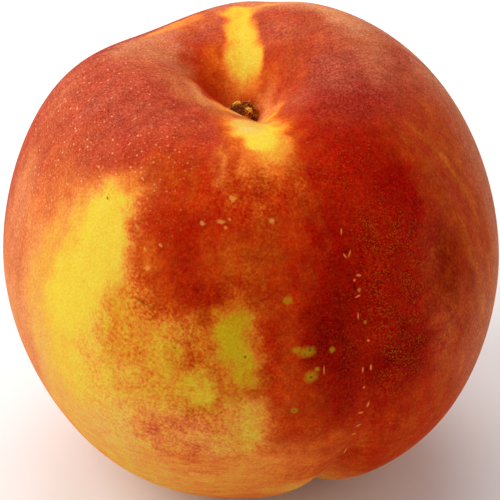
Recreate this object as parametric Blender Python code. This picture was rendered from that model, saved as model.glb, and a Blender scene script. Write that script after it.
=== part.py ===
"""A ripe peach: the whole fruit, and the woody scar its stalk left at the bottom of the stem cavity.

Metres, +Z up. The fruit stands on the flat spot round its blossom end. The origin is on that
surface, under the middle of the fruit. A place on the skin is given by two angles in degrees:
its polar angle from the stem axis (+Z), and its azimuth from the front (-Y) towards +X.
"""
from collections import namedtuple

import bmesh
import bpy
import numpy as np

# The plain body, measured from its centre
GIRTH_RADIUS = 0.0368
CROWN_HEIGHT = 0.0380
BASE_HEIGHT = 0.0361
MERIDIAN_POWER = 1.9        # 2 would make each meridian an ellipse
FOOT_DEPTH = 0.0347         # the flat spot it stands on lies this far below the centre
CORE_LEAN = -0.0013         # the stem end of the core leans this far along X
CORE_LEAN_SPREAD = 40
CORE_CLEARANCE = 14         # grooves fade out this close to the stem end of the core

# Broad swells that give the fruit its three uneven lobes
Swell = namedtuple("Swell", "azimuth polar spread height")
SWELLS = (
    Swell(-105, 45, 28, 0.0016),    # left shoulder
    Swell(-60, 42, 26, 0.0011),     # front of the left shoulder
    Swell(-78, 20, 9, 0.0012),      # crest of the left lobe over the stem cavity
    Swell(57, 22, 6.5, 0.0013),     # shoulder of the right lobe over the stem cavity
    Swell(-163, 40, 24, 0.0004),    # small back lobe
    Swell(150, 40, 24, 0.0014),     # back of the right lobe
    Swell(112, 48, 26, 0.0012),     # right shoulder
    Swell(50, 120, 28, 0.0020),     # foot of the right lobe
    Swell(-30, 125, 30, 0.0020),    # foot of the left lobe
)

# Stem cavity: a round bowl, with a trench in its floor that runs towards the valley
BOWL_DEPTH = 0.0104
BOWL_RADIUS = 0.0135
BOWL_SHIFT = 0.0022
BOWL_AZIMUTH = 14
TRENCH_DEPTH = 0.0049
TRENCH_AZIMUTH = -118
TRENCH_LONG_END = 0.0122
TRENCH_SHORT_END = 0.0074
TRENCH_STEEP_SIDE = 0.0035
TRENCH_EASY_SIDE = 0.0073

# Suture: one seam from the cavity down the front to the blossom end
SUTURE_AZIMUTH = 27.5
SUTURE_STEM_SWING = 8       # it starts this much nearer the front at the stem end
SUTURE_STEM_REACH = 26
SUTURE_LOW_SWING = 4.5      # and bends the same way below the girth
SUTURE_LOW_START = 95
SUTURE_LOW_REACH = 40
SUTURE_HALF_WIDTH = 5
SUTURE_DEPTH = 0.0007
SUTURE_CLEFT_DEPTH = 0.0023  # added from the girth downwards, where the two lobes part
SUTURE_CLEFT_REACH = 45
SUTURE_END = 176
SUTURE_END_FADE = 12
LIP_DEPTH = 0.0037          # dip of the cavity's edge where the suture leaves it
LIP_AZIMUTH = 29
LIP_POLAR = 9
LIP_HALF_WIDTH = 4.6
LIP_LENGTH = 8.5

# Two shorter hollows at the back of the cavity, each fading out below the shoulders
HOLLOW_BEND_START = 20
HOLLOW_BEND_LENGTH = 20
Hollow = namedtuple("Hollow", "azimuth swing half_width depth reach")
BACK_GROOVE = Hollow(177, -8, 6, 0.0006, 50)
BACK_VALLEY = Hollow(-141, 0, 17, 0.0021, 62)

# Blossom end: a dimple in the middle of the flat spot, with a small dry tip inside it
DIMPLE_DEPTH = 0.0018
DIMPLE_RADIUS = 0.0052
TIP_HEIGHT = 0.0011
TIP_RADIUS = 0.0014

# Stem scar: a knobbly woody plug with its root sunk in the cavity's floor
SCAR_RADIUS = 0.0022
SCAR_RISE = 0.0026
SCAR_ROOT = 0.0012
SCAR_POWER = 2.6
SCAR_GAP = 0.00036          # radial, so that no facet of the wood is nearer than 0.3 mm
RING_KNOBS = 7
TOP_KNOBS = 2
RING_KNOB_POLAR = (48, 62)
TOP_KNOB_POLAR = (8, 22)
KNOB_HEIGHT = (0.00019, 0.00038)
KNOB_TURN = 14              # a knob strays this far from its even place in the ring
KNOB_SPREAD = 15
KNOB_SEED = 5

# Mesh fineness; rows lie closer together near both ends of the core, and columns near the suture
FRUIT_COLUMNS = 88
FRUIT_ROWS = 46
ROW_CROWDING = 0.38
COLUMN_CROWDING = 0.42
SCAR_COLUMNS = 28
SCAR_ROWS = 18

FRUIT_COLOUR = (0.56, 0.115, 0.028, 1.0)
SCAR_COLOUR = (0.105, 0.045, 0.018, 1.0)


def clear_scene():
    """Remove every object that the file opened with."""
    for found in list(bpy.data.objects):
        bpy.data.objects.remove(found, do_unlink=True)


def smooth_step(amount):
    """Ease from 0 to 1 as amount goes from 0 to 1."""
    part = np.clip(amount, 0.0, 1.0)
    return part * part * (3.0 - 2.0 * part)


def turned(angle):
    """Bring an angle in degrees into the half-open range from -180 to 180."""
    return (angle + 180.0) % 360.0 - 180.0


def swell_rise(swell, polar, azimuth):
    """Height of one swell: highest at its centre, and gone at a few times its spread."""
    here, centre = np.radians(polar), np.radians(swell.polar)
    turn = np.radians(azimuth - swell.azimuth)
    apart = np.cos(here) * np.cos(centre) + np.sin(here) * np.sin(centre) * np.cos(turn)
    return swell.height * np.exp(-(1.0 - apart) / (1.0 - np.cos(np.radians(swell.spread))))


def groove(offset, half_width):
    """Cross-section of a round-bottomed groove, 1 on its line and 0 well away from it."""
    return np.exp(-(offset / half_width) ** 2)


def dish(distance, edge_radius):
    """Section of a round dish, 1 in its middle and level from its edge outwards."""
    return np.clip(1.0 - (distance / edge_radius) ** 2, 0.0, 1.0) ** 2


def hollow_depth(hollow, polar, azimuth):
    """Depth of a hollow that runs from the cavity down one meridian."""
    bend = smooth_step((polar - HOLLOW_BEND_START) / HOLLOW_BEND_LENGTH)
    line = hollow.azimuth + hollow.swing * bend
    offset = turned(azimuth - line) * np.sin(np.radians(polar))
    return hollow.depth * groove(offset, hollow.half_width) * np.exp(-(polar / hollow.reach) ** 4)


def suture_line(polar):
    """Azimuth of the suture, which bends to the front near both ends."""
    stem_end = SUTURE_STEM_SWING * groove(polar, SUTURE_STEM_REACH)
    below = np.maximum((polar - SUTURE_LOW_START) / SUTURE_LOW_REACH, 0.0)
    blossom_end = SUTURE_LOW_SWING * below ** 2
    return SUTURE_AZIMUTH - stem_end - blossom_end


def suture_depth(polar, azimuth):
    """Depth of the suture and of the dip where it leaves the cavity."""
    across = np.sin(np.radians(polar))
    cleft = smooth_step((polar - 90.0) / SUTURE_CLEFT_REACH)
    depth = SUTURE_DEPTH + SUTURE_CLEFT_DEPTH * cleft
    fade = np.clip((SUTURE_END - polar) / SUTURE_END_FADE, 0.0, 1.0)
    seam = depth * fade * groove(turned(azimuth - suture_line(polar)) * across, SUTURE_HALF_WIDTH)
    dip = LIP_DEPTH * groove(turned(azimuth - LIP_AZIMUTH) * across, LIP_HALF_WIDTH)
    return seam + dip * groove(polar - LIP_POLAR, LIP_LENGTH)


def cavity_depth(polar, azimuth):
    """Depth of the stem cavity's bowl and of the trench in its floor."""
    out = GIRTH_RADIUS * np.sin(np.radians(polar))
    x, y = out * np.sin(np.radians(azimuth)), -out * np.cos(np.radians(azimuth))
    shift = np.radians(BOWL_AZIMUTH)
    from_middle = np.hypot(x - BOWL_SHIFT * np.sin(shift), y + BOWL_SHIFT * np.cos(shift))
    bowl = BOWL_DEPTH * groove(from_middle, BOWL_RADIUS)
    run = np.radians(TRENCH_AZIMUTH)
    along = x * np.sin(run) - y * np.cos(run)
    across = -x * np.cos(run) - y * np.sin(run)
    length = np.where(along > 0.0, TRENCH_LONG_END, TRENCH_SHORT_END)
    width = np.where(across > 0.0, TRENCH_EASY_SIDE, TRENCH_STEEP_SIDE)
    trench = TRENCH_DEPTH * groove(along, length) * groove(across, width)
    return (bowl + trench) * smooth_step(2.0 * np.cos(np.radians(polar)))


def fruit_radius(polar, azimuth):
    """Distance of the skin from the fruit's centre."""
    across, up = np.sin(np.radians(polar)), np.cos(np.radians(polar))
    half_height = np.where(up > 0.0, CROWN_HEIGHT, BASE_HEIGHT)
    rounded = (across / GIRTH_RADIUS) ** MERIDIAN_POWER + (np.abs(up) / half_height) ** MERIDIAN_POWER
    radius = rounded ** (-1.0 / MERIDIAN_POWER)
    radius = radius + sum(swell_rise(swell, polar, azimuth) for swell in SWELLS)
    off_axis = 1.0 - groove(polar, CORE_CLEARANCE)
    for hollow in (BACK_GROOVE, BACK_VALLEY):
        radius = radius - off_axis * hollow_depth(hollow, polar, azimuth)
    return radius - off_axis * suture_depth(polar, azimuth) - cavity_depth(polar, azimuth)


def fruit_skin(polar, azimuth):
    """Points of the skin, as rows of x, y and z from the fruit's centre."""
    radius = fruit_radius(polar, azimuth)
    out = radius * np.sin(np.radians(polar))
    x = out * np.sin(np.radians(azimuth)) + CORE_LEAN * np.exp(-(polar / CORE_LEAN_SPREAD) ** 2)
    y = -out * np.cos(np.radians(azimuth))
    z = np.maximum(radius * np.cos(np.radians(polar)), -FOOT_DEPTH)
    below = polar > 90.0
    z = z + below * (DIMPLE_DEPTH * dish(out, DIMPLE_RADIUS) - TIP_HEIGHT * dish(out, TIP_RADIUS))
    return np.stack([x, y, z], axis=-1)


def scar_skin(polar, azimuth, grow=0.0):
    """Points of the stem scar from the middle of the cavity's floor, grown outwards by grow."""
    across, up = np.sin(np.radians(polar)), np.cos(np.radians(polar))
    half_height = np.where(up > 0.0, SCAR_RISE, SCAR_ROOT)
    rounded = (across / SCAR_RADIUS) ** SCAR_POWER + (np.abs(up) / half_height) ** SCAR_POWER
    radius = rounded ** (-1.0 / SCAR_POWER) + grow
    draw = np.random.default_rng(KNOB_SEED)
    for count, band in ((RING_KNOBS, RING_KNOB_POLAR), (TOP_KNOBS, TOP_KNOB_POLAR)):
        for number in range(count):
            turn = number * 360.0 / count + draw.uniform(-KNOB_TURN, KNOB_TURN)
            knob = Swell(turn, draw.uniform(*band), KNOB_SPREAD, draw.uniform(*KNOB_HEIGHT))
            radius = radius + swell_rise(knob, polar, azimuth)
    out = radius * across
    x, y = out * np.sin(np.radians(azimuth)), -out * np.cos(np.radians(azimuth))
    return np.stack([x, y, radius * up], axis=-1)


def shaped_sphere(name, columns, rows, skin, row_crowding=0.0, column_crowding=0.0):
    """Mesh of a UV sphere whose vertices are moved to where skin puts their two angles."""
    sphere = bmesh.new()
    bmesh.ops.create_uvsphere(sphere, u_segments=columns, v_segments=rows, radius=1.0)
    mesh = bpy.data.meshes.new(name)
    sphere.to_mesh(mesh)
    sphere.free()
    unit = np.empty(len(mesh.vertices) * 3)
    mesh.vertices.foreach_get("co", unit)
    unit = unit.reshape(-1, 3)
    row = np.arccos(np.clip(unit[:, 2], -1.0, 1.0))
    column = np.arctan2(unit[:, 0], -unit[:, 1])
    from_suture = column - np.radians(SUTURE_AZIMUTH)
    polar = np.degrees(row - 0.5 * row_crowding * np.sin(2.0 * row))
    azimuth = np.degrees(column - column_crowding * np.sin(from_suture))
    mesh.vertices.foreach_set("co", skin(polar, azimuth).ravel())
    mesh.update()
    mesh.shade_smooth()
    return mesh


def plain_material(name, colour, roughness):
    """Principled material of one colour."""
    material = bpy.data.materials.new(name)
    material.use_nodes = True
    shader = material.node_tree.nodes["Principled BSDF"]
    shader.inputs["Base Color"].default_value = colour
    shader.inputs["Roughness"].default_value = roughness
    shader.inputs["Metallic"].default_value = 0.0
    return material


def add_object(name, mesh, collection, parent, location=(0.0, 0.0, 0.0)):
    """Object for a mesh, placed from its parent."""
    thing = bpy.data.objects.new(name, mesh)
    collection.objects.link(thing)
    thing.parent = parent
    thing.location = location
    return thing


def build_peach():
    """Make the fruit and its stem scar, standing on the floor over the origin."""
    peach = bpy.data.collections.new("peach")
    cutters = bpy.data.collections.new("cutters")
    for collection in (peach, cutters):
        bpy.context.scene.collection.children.link(collection)

    flesh = shaped_sphere(
        "fruit", FRUIT_COLUMNS, FRUIT_ROWS, fruit_skin, ROW_CROWDING, COLUMN_CROWDING
    )
    corners = np.empty(len(flesh.vertices) * 3)
    flesh.vertices.foreach_get("co", corners)
    corners = corners.reshape(-1, 3)
    middle = (corners.min(axis=0) + corners.max(axis=0)) / 2.0

    core = bpy.data.objects.new("core", None)
    core.location = (-middle[0], -middle[1], FOOT_DEPTH)
    peach.objects.link(core)

    fruit = add_object("fruit", flesh, peach, core)
    flesh.materials.append(plain_material("peach_skin", FRUIT_COLOUR, 0.6))

    cavity_floor = fruit_skin(np.zeros(1), np.zeros(1))[0]
    wood = shaped_sphere("stem_scar", SCAR_COLUMNS, SCAR_ROWS, scar_skin)
    wood.materials.append(plain_material("scar_wood", SCAR_COLOUR, 0.75))
    add_object("stem_scar", wood, peach, core, cavity_floor)

    room = shaped_sphere(
        "scar_socket_cutter", SCAR_COLUMNS, SCAR_ROWS,
        lambda polar, azimuth: scar_skin(polar, azimuth, grow=SCAR_GAP),
    )
    cutter = add_object("scar_socket_cutter", room, cutters, core, cavity_floor)
    cutter.hide_render = True
    cutter.display_type = "WIRE"
    socket = fruit.modifiers.new("scar_socket", "BOOLEAN")
    socket.operation = "DIFFERENCE"
    socket.solver = "EXACT"
    socket.object = cutter


clear_scene()
build_peach()
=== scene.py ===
"""A ripe peach on a pale studio floor: its velvety blushed skin and the woody scar of its stalk.

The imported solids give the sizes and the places. Each class below holds the measures of one piece
and works its surface out with numpy, and each finish is a small frozen dataclass.
"""

from dataclasses import dataclass, field
from enum import Enum
import logging
import math
from typing import Iterable, Union

import bpy
import numpy as np
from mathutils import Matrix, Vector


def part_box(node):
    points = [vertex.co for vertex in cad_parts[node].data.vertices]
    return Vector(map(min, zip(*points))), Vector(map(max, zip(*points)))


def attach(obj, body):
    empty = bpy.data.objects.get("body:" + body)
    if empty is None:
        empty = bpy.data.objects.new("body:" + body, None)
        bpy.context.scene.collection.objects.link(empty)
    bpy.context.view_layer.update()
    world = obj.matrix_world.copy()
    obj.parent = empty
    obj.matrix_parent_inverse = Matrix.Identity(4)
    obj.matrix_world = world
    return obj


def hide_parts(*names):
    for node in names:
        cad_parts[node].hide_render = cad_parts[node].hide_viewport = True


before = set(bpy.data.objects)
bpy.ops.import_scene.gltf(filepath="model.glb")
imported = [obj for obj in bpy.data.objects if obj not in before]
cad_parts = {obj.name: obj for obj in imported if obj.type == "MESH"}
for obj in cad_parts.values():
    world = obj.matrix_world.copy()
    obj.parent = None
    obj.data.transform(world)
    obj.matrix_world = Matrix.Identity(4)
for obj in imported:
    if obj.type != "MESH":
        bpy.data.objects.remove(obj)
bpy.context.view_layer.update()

log = logging.getLogger("peach")

Number = Union[int, float]
Colour = tuple[float, float, float]

CAD_FOOT_DEPTH = 0.0347     # the flat spot lies this far below the fruit's centre
CHART_AZIMUTH = 10.0        # meridian that the flat map of the front is laid out from
WAVE_SPREAD = (0.6, 1.4)    # fewest and most waves of an unevenness, for each one asked


class Slot(Enum):
    """Material slots of the record."""

    SKIN = "peach_skin"
    WOOD = "scar_wood"


# ---------------------------------------------------------------- numpy helpers


def eased(values: np.ndarray, start: float, end: float) -> np.ndarray:
    """Ease 3t^2 - 2t^3 from 0 to 1 as the values go from start to end, either way."""
    part = np.clip((values - start) / (end - start), 0.0, 1.0)
    return part * part * (3.0 - 2.0 * part)


def turned(angle: np.ndarray) -> np.ndarray:
    """Bring angles in degrees into the range from -180 to 180."""
    return (angle + 180.0) % 360.0 - 180.0


def groove(offset: np.ndarray, half_width: Number) -> np.ndarray:
    """Cross-section exp(-(offset / half_width)^2) of a round-bottomed groove."""
    return np.exp(-(offset / half_width) ** 2)


def dish(distance: np.ndarray, edge_radius: float) -> np.ndarray:
    """Section (1 - (distance / edge_radius)^2)^2 of a dish, level from its edge outwards."""
    return np.clip(1.0 - (distance / edge_radius) ** 2, 0.0, 1.0) ** 2


@dataclass(frozen=True)
class Places:
    """Places on a round thing: angles in degrees from +Z, and from -Y towards +X."""

    polar: Number | np.ndarray
    azimuth: Number | np.ndarray

    @property
    def across(self) -> np.ndarray:
        """Distance from the axis on a ball of radius 1, the sine of the polar angle."""
        return np.sin(np.radians(self.polar))

    @property
    def up(self) -> np.ndarray:
        """Height above the centre on a ball of radius 1, the cosine of the polar angle."""
        return np.cos(np.radians(self.polar))

    @property
    def circle(self) -> tuple[np.ndarray, np.ndarray]:
        """The x and y of each azimuth on a circle of radius 1."""
        return np.sin(np.radians(self.azimuth)), -np.cos(np.radians(self.azimuth))

    @property
    def outwards(self) -> np.ndarray:
        """Unit vectors out from the centre, with a last axis of x, y and z."""
        x, y = self.circle
        return np.stack([self.across * x, self.across * y, self.up + 0.0 * x], axis=-1)

    def arc(self, azimuth: Number | np.ndarray) -> np.ndarray:
        """Arc east of an azimuth in degrees: the turn times the sine of the polar angle."""
        return turned(self.azimuth - azimuth) * self.across


def wobble(where: np.ndarray, waves: float, seed: int, count: int = 14) -> np.ndarray:
    """Smooth seeded unevenness: a sum of plane waves sin(k.p + phase), scaled to about -1..1.

    Args:
        where: Points with a last axis of x, y and z.
        waves: Waves per unit of length of the points, at the middle of the spread.
        seed: Seed of the draw.
        count: Number of plane waves.

    Returns:
        One value for each point.
    """
    draw = np.random.default_rng(seed)
    total = np.zeros(where.shape[:-1])
    for _ in range(count):
        axis = draw.normal(size=3)
        axis *= 2.0 * math.pi * waves * draw.uniform(*WAVE_SPREAD) / np.linalg.norm(axis)
        total += np.sin(where @ axis + draw.uniform(0.0, 2.0 * math.pi))
    return total / math.sqrt(count)


@dataclass(frozen=True)
class Grid:
    """A sphere-like grid of rows and columns, with closed poles and no seam.

    Rows lie closer together near the poles and columns near one azimuth, by
    angle - crowding * sin(angle), so that the cavity and the suture get the most faces.
    """

    rows: int
    columns: int
    row_crowding: float = 0.0
    column_crowding: float = 0.0
    crowd_azimuth: float = 0.0

    def places(self) -> Places:
        """Places of the vertices, row by row, the two poles last.

        Returns:
            The places.
        """
        row = np.linspace(0.0, math.pi, self.rows + 1)[1:-1]
        column = np.arange(self.columns) * 2.0 * math.pi / self.columns
        polar = np.degrees(row - 0.5 * self.row_crowding * np.sin(2.0 * row))
        azimuth = np.degrees(column - self.column_crowding * np.sin(column))
        polar, azimuth = np.meshgrid(polar, turned(azimuth + self.crowd_azimuth), indexing="ij")
        return Places(np.append(polar, (0.0, 180.0)), np.append(azimuth, (0.0, 0.0)))

    def faces(self) -> list[tuple[int, ...]]:
        """Quads between the rows and a fan of triangles at each pole, facing outwards.

        Returns:
            The vertex indices of each face.
        """
        rows, columns = self.rows - 1, self.columns
        index = np.arange(rows * columns).reshape(rows, columns)
        beside = np.roll(index, -1, axis=1)
        quads = np.stack((index[:-1], index[1:], beside[1:], beside[:-1]), axis=-1).reshape(-1, 4)
        top, bottom = rows * columns, rows * columns + 1
        near_top = np.stack((index[0], beside[0], np.full(columns, top)), axis=-1)
        near_bottom = np.stack((beside[-1], index[-1], np.full(columns, bottom)), axis=-1)
        return [tuple(face) for part in (quads, near_top, near_bottom) for face in part.tolist()]


def make_object(name: str, points: np.ndarray, faces: Iterable[tuple[int, ...]]) -> bpy.types.Object:
    """Make a smooth-shaded mesh object at the origin.

    Args:
        name: Name of the object and its mesh.
        points: Vertices as rows of x, y and z in metres.
        faces: Vertex indices of each face.

    Returns:
        The object, linked to the scene.
    """
    mesh = bpy.data.meshes.new(name)
    mesh.from_pydata(points.tolist(), [], list(faces))
    mesh.shade_smooth()
    mesh.validate()
    piece = bpy.data.objects.new(name, mesh)
    bpy.context.scene.collection.objects.link(piece)
    return piece


def add_field(piece: bpy.types.Object, name: str, values: np.ndarray) -> None:
    """Store one number, or one vector, for each vertex, where shaders can read it.

    Args:
        piece: The mesh object.
        name: Name of the field.
        values: One row for each vertex.
    """
    kind, key = ("FLOAT", "value") if values.ndim == 1 else ("FLOAT_VECTOR", "vector")
    attribute = piece.data.attributes.new(name, kind, "POINT")
    attribute.data.foreach_set(key, values.astype(np.float32).ravel())


# ---------------------------------------------------------------- shader helpers


class Value:
    """A shader socket that carries a number, with arithmetic that adds Math nodes."""

    def __init__(self, graph: "Graph", socket: bpy.types.NodeSocket) -> None:
        """Wrap a socket of a graph's node tree."""
        self.graph = graph
        self.socket = socket

    def _math(self, operation: str, *others: "Operand", clamp: bool = False) -> "Value":
        """Add one Math node on this value and the others."""
        settings = {"operation": operation, "use_clamp": clamp}
        return self.graph.value("ShaderNodeMath", settings, dict(enumerate((self, *others))))

    def __add__(self, other: "Operand") -> "Value":
        """Sum."""
        return self._math("ADD", other)

    __radd__ = __add__

    def __mul__(self, other: "Operand") -> "Value":
        """Product."""
        return self._math("MULTIPLY", other)

    def __sub__(self, other: "Operand") -> "Value":
        """Difference."""
        return self._math("SUBTRACT", other)

    def highest(self, other: "Operand") -> "Value":
        """The larger of two values."""
        return self._math("MAXIMUM", other)

    def scaled(self, base: Number, gain: Number) -> "Value":
        """This value times a gain, on top of a base."""
        return self * gain + base

    def clamped(self) -> "Value":
        """This value kept between 0 and 1."""
        return self._math("ADD", 0.0, clamp=True)

    def eased(self, low: "Operand", high: "Operand") -> "Value":
        """Ease from 0 at low to 1 at high, or down where low is the larger."""
        inputs = {"Value": self, "From Min": low, "From Max": high}
        return self.graph.value("ShaderNodeMapRange", {"interpolation_type": "SMOOTHSTEP"}, inputs)


Operand = Union[Value, Number]
Paint = Union[Colour, bpy.types.NodeSocket]


@dataclass(frozen=True)
class Noise:
    """A noise: its features per unit, its octaves, and the weight of the finer ones."""

    scale: float
    detail: float
    roughness: float = 0.5


@dataclass(frozen=True)
class Dots:
    """Scattered round dots, at most one in each cell.

    The rim runs from bare skin to full colour, in cell widths from the dot's middle, and chosen
    is the range of a draw from 0 to 1 over which a cell's dot goes from absent to full.
    """

    scale: float
    rim: tuple[float, float]
    chosen: tuple[float, float]


class Graph:
    """A material's node tree, with one method that adds any node."""

    def __init__(self, name: str) -> None:
        """Make a material with an empty node tree.

        Args:
            name: The material's name, which is its slot in the record.
        """
        self.material = bpy.data.materials.new(name)
        self.material.use_nodes = True
        self.tree = self.material.node_tree
        self.tree.nodes.clear()

    def node(self, kind: str, settings: dict | None = None,
             inputs: dict | None = None) -> bpy.types.Node:
        """Add one node.

        Args:
            kind: The node's type.
            settings: Properties, or colour stops under the key "stops", set first.
            inputs: Sockets by name or number, each a number, tuple, value, colour or link.

        Returns:
            The node.
        """
        node = self.tree.nodes.new(kind)
        for key, setting in (settings or {}).items():
            if key == "stops":
                self._set_stops(node.color_ramp, setting)
            else:
                setattr(node, key, setting)
        for key, given in (inputs or {}).items():
            socket = node.inputs[key]
            source = given.socket if isinstance(given, Value) else given
            if isinstance(source, bpy.types.NodeSocket):
                self.tree.links.new(source, socket)
            elif isinstance(source, tuple) and socket.type == "RGBA":
                socket.default_value = (*source, 1.0)
            else:
                socket.default_value = source
        return node

    @staticmethod
    def _set_stops(ramp: bpy.types.ColorRamp, stops: Iterable[tuple[float, Colour]]) -> None:
        """Give a colour ramp its stops.

        Args:
            ramp: The ramp, which starts with two.
            stops: Places from 0 to 1 with their colours.
        """
        elements = ramp.elements
        for number, (place, colour) in enumerate(stops):
            stop = elements[number] if number < len(elements) else elements.new(place)
            stop.position = place
            stop.color = (*colour, 1.0)

    def value(self, kind: str, settings: dict, inputs: dict, output: Union[str, int] = 0) -> Value:
        """Add a node and wrap one of its outputs."""
        return Value(self, self.node(kind, settings, inputs).outputs[output])

    def number_field(self, name: str) -> Value:
        """Read a number stored for each vertex."""
        return self.value("ShaderNodeAttribute", {"attribute_name": name}, {}, "Fac")

    def vector_field(self, name: str) -> bpy.types.NodeSocket:
        """Read a vector stored for each vertex."""
        return self.node("ShaderNodeAttribute", {"attribute_name": name}).outputs["Vector"]

    def place(self) -> bpy.types.NodeSocket:
        """Read the surface point in the object's own metres."""
        return self.node("ShaderNodeTexCoord").outputs["Object"]

    def noise(self, vector: bpy.types.NodeSocket, noise: Noise) -> Value:
        """Noise about 0, from roughly -1 to 1: the node's own stays near 0.25 to 0.75."""
        inputs = {"Scale": noise.scale, "Detail": noise.detail, "Roughness": noise.roughness}
        return self.value("ShaderNodeTexNoise", {}, {"Vector": vector, **inputs}) * 4.0 - 2.0

    def dots(self, vector: bpy.types.NodeSocket, dots: Dots) -> Value:
        """Cover of scattered dots: each cell's eased rim times its eased draw.

        Args:
            vector: Coordinates.
            dots: The dots.

        Returns:
            The cover, 1 in the middle of a full dot.
        """
        cell = self.node("ShaderNodeTexVoronoi", {}, {"Vector": vector, "Scale": dots.scale}).outputs
        drawn = self.node("ShaderNodeSeparateColor", {}, {"Color": cell["Color"]}).outputs["Red"]
        return Value(self, cell["Distance"]).eased(*dots.rim) * Value(self, drawn).eased(*dots.chosen)

    def mix(self, factor: Operand, first: Paint | Value, second: Paint | Value,
            blend: str = "MIX") -> bpy.types.NodeSocket:
        """Mix two colours.

        Args:
            factor: Share of the second colour.
            first: Colour or socket.
            second: Colour or socket.
            blend: Blend type.

        Returns:
            The mixed colour's socket.
        """
        settings = {"data_type": "RGBA", "blend_type": blend}
        node = self.node("ShaderNodeMix", settings, {0: factor, 6: first, 7: second})
        return node.outputs[2]

    def bump(self, height: Value, distance: float, strength: float) -> bpy.types.NodeSocket:
        """Bump whose height of 1 stands for a distance in metres."""
        inputs = {"Height": height, "Distance": distance, "Strength": strength}
        return self.node("ShaderNodeBump", {}, inputs).outputs["Normal"]

    def finish(self, inputs: dict) -> bpy.types.Material:
        """Add the Principled shader and the output.

        Args:
            inputs: The shader's sockets by name.

        Returns:
            The material.
        """
        shader = self.node("ShaderNodeBsdfPrincipled", {}, inputs)
        self.node("ShaderNodeOutputMaterial", {}, {"Surface": shader.outputs[0]})
        return self.material


# ---------------------------------------------------------------- the fruit's form


@dataclass(frozen=True)
class Swell:
    """A broad rise of the skin, placed and spread in degrees, with its height in metres."""

    azimuth: float
    polar: float
    spread: float
    height: float

    def rise(self, at: Places) -> np.ndarray:
        """Height h * exp(-(1 - cos d) / (1 - cos spread)), where d is the angle to the centre.

        Args:
            at: Places on the surface.

        Returns:
            The rise in metres.
        """
        centre, turn = math.radians(self.polar), np.radians(at.azimuth - self.azimuth)
        apart = at.up * math.cos(centre) + at.across * math.sin(centre) * np.cos(turn)
        return self.height * np.exp(-(1.0 - apart) / (1.0 - math.cos(math.radians(self.spread))))


@dataclass(frozen=True)
class Hollow:
    """A hollow that runs down one meridian from the cavity and fades out at its reach.

    Its line swings aside between the two polar angles of its bend.
    """

    azimuth: float
    swing: float
    half_width: float
    depth: float
    reach: float
    bend: tuple[float, float] = (20.0, 40.0)

    def cut(self, at: Places) -> np.ndarray:
        """Depth: a groove across its line, times exp(-(polar / reach)^4).

        Args:
            at: Places on the surface.

        Returns:
            The depth in metres.
        """
        offset = at.arc(self.azimuth + self.swing * eased(at.polar, *self.bend))
        return self.depth * groove(offset, self.half_width) * np.exp(-(at.polar / self.reach) ** 4)


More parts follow.
